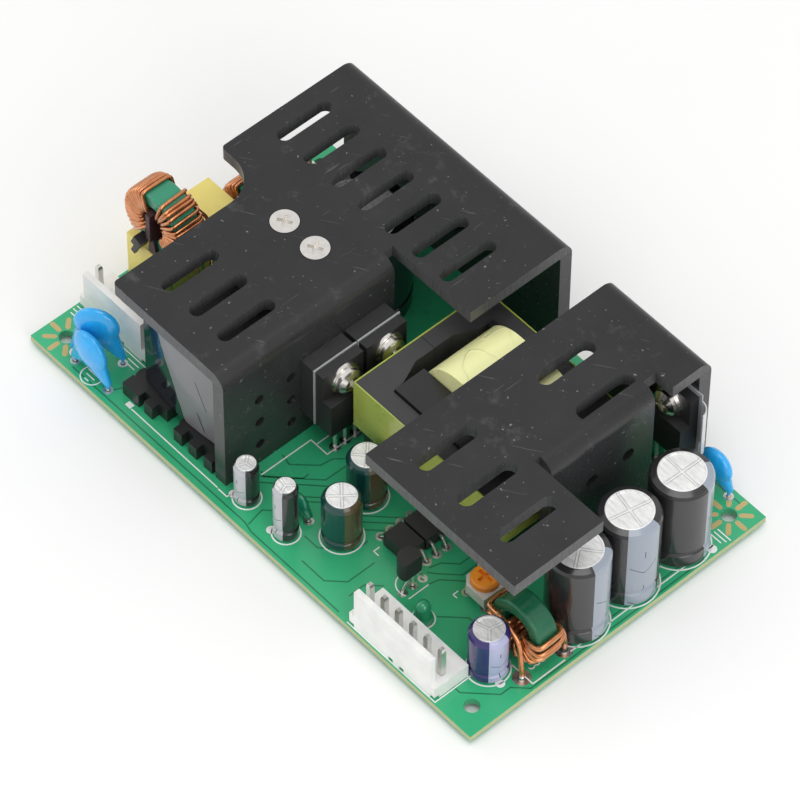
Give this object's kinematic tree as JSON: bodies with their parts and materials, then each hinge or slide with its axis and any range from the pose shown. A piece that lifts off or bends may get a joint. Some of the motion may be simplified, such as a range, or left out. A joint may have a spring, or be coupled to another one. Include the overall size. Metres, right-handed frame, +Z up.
{
  "type": "open frame power supply",
  "caption": "Open frame switching power supply: parts on a green circuit board under bent black sheet heatsinks, with white row connectors at its ends.",
  "frame": {"origin": "centre of the four mounting holes, on the circuit board's underside", "axes": "+X from the input end to the output end, +Y to the edge the heatsink walls stand on, +Z up through the board"},
  "size_m": [0.127, 0.0762, 0.0352],
  "materials": {
    "black_anodised": "black anodised sheet aluminium, satin, light scratches",
    "black_bobbin": "black phenolic moulding",
    "black_can": "shrunk black sleeve with bare aluminium top",
    "black_moulding": "black epoxy moulding, matt, tinned leads",
    "black_tie": "black nylon tie",
    "blue_dip": "dipped blue epoxy, glossy",
    "board": "green solder mask on glass-fibre board, semi-gloss",
    "bracket_metal": "plain sheet aluminium",
    "brown_sleeve": "dark brown sleeve",
    "copper_wire": "lacquered copper wire, glossy",
    "ferrite": "dark grey ferrite, satin",
    "film": "thin black film, very glossy",
    "fuse_body": "ceramic fuse body",
    "green_can": "shrunk dark green sleeve with bare aluminium top",
    "green_core": "green epoxy coating on a ring core",
    "green_dip": "dipped green epoxy",
    "insulator": "dark thermal insulator",
    "led_green": "tinted translucent epoxy",
    "orange_dial": "orange plastic",
    "red_dip": "dipped red-brown lacquer",
    "thermal_pad": "grey silicone pad, translucent",
    "tinned_pin": "tin-plated brass",
    "trimmer_case": "pale grey moulding",
    "violet_can": "shrunk violet sleeve with bare aluminium top",
    "white_nylon": "white nylon, satin",
    "yellow_box": "yellow moulded box",
    "yellow_tape": "pale yellow polyester tape",
    "zinc_screw": "nickel-plated steel, bright"
  },
  "bodies": {
    "supply": {"circuit_board": "board", "primary_heatsink": "black_anodised", "secondary_heatsink": "black_anodised", "countersunk_screws": "zinc_screw", "rectifier_bracket": "bracket_metal", "bridge_rectifier": "black_moulding", "insulator_blocks": "insulator", "pan_head_screws": "zinc_screw", "screw_washers": "zinc_screw", "thermal_pads": "thermal_pad", "power_transistor_1": "black_moulding", "power_transistor_2": "black_moulding", "output_rectifier_1": "black_moulding", "output_rectifier_2": "black_moulding", "insulating_film": "film", "input_header": "white_nylon", "input_pins": "tinned_pin", "output_header": "white_nylon", "output_pins": "tinned_pin", "fuse": "fuse_body", "varistor": "red_dip", "y_capacitor_1": "blue_dip", "y_capacitor_2": "blue_dip", "y_capacitor_3": "blue_dip", "x_capacitor": "yellow_box", "input_choke_core": "green_core", "input_choke_winding_1": "copper_wire", "input_choke_winding_2": "copper_wire", "input_choke_divider": "brown_sleeve", "input_choke_tie": "black_tie", "filter_choke_core": "green_core", "filter_choke_windings": "copper_wire", "bulk_capacitor": "black_can", "boost_bobbin": "black_bobbin", "boost_core": "ferrite", "boost_winding": "yellow_tape", "transformer_bobbin": "black_bobbin", "transformer_core_1": "ferrite", "transformer_core_2": "ferrite", "transformer_winding": "yellow_tape", "transformer_tape": "yellow_tape", "small_capacitor_1": "black_can", "small_capacitor_2": "black_can", "driver_capacitor_1": "green_can", "driver_capacitor_2": "green_can", "output_capacitor_1": "black_can", "output_capacitor_2": "black_can", "output_capacitor_3": "black_can", "feedback_capacitor": "violet_can", "optocoupler_1": "black_moulding", "optocoupler_2": "black_moulding", "signal_transistor": "black_moulding", "indicator_led": "led_green", "trimmer_base": "trimmer_case", "output_inductor_core": "green_core", "output_inductor_winding": "copper_wire", "ceramic_capacitor": "green_dip", "surface_mount_parts": "black_moulding"},
    "dial": {"trimmer_dial": "orange_dial"}
  },
  "joints": [
    {"name": "trimmer_turn", "type": "hinge", "parent": "supply", "child": "dial", "pos_m": [0.0412, -0.014, 0.0068], "axis": [0, 0, 1], "range_deg": [-130, 130]}
  ]
}
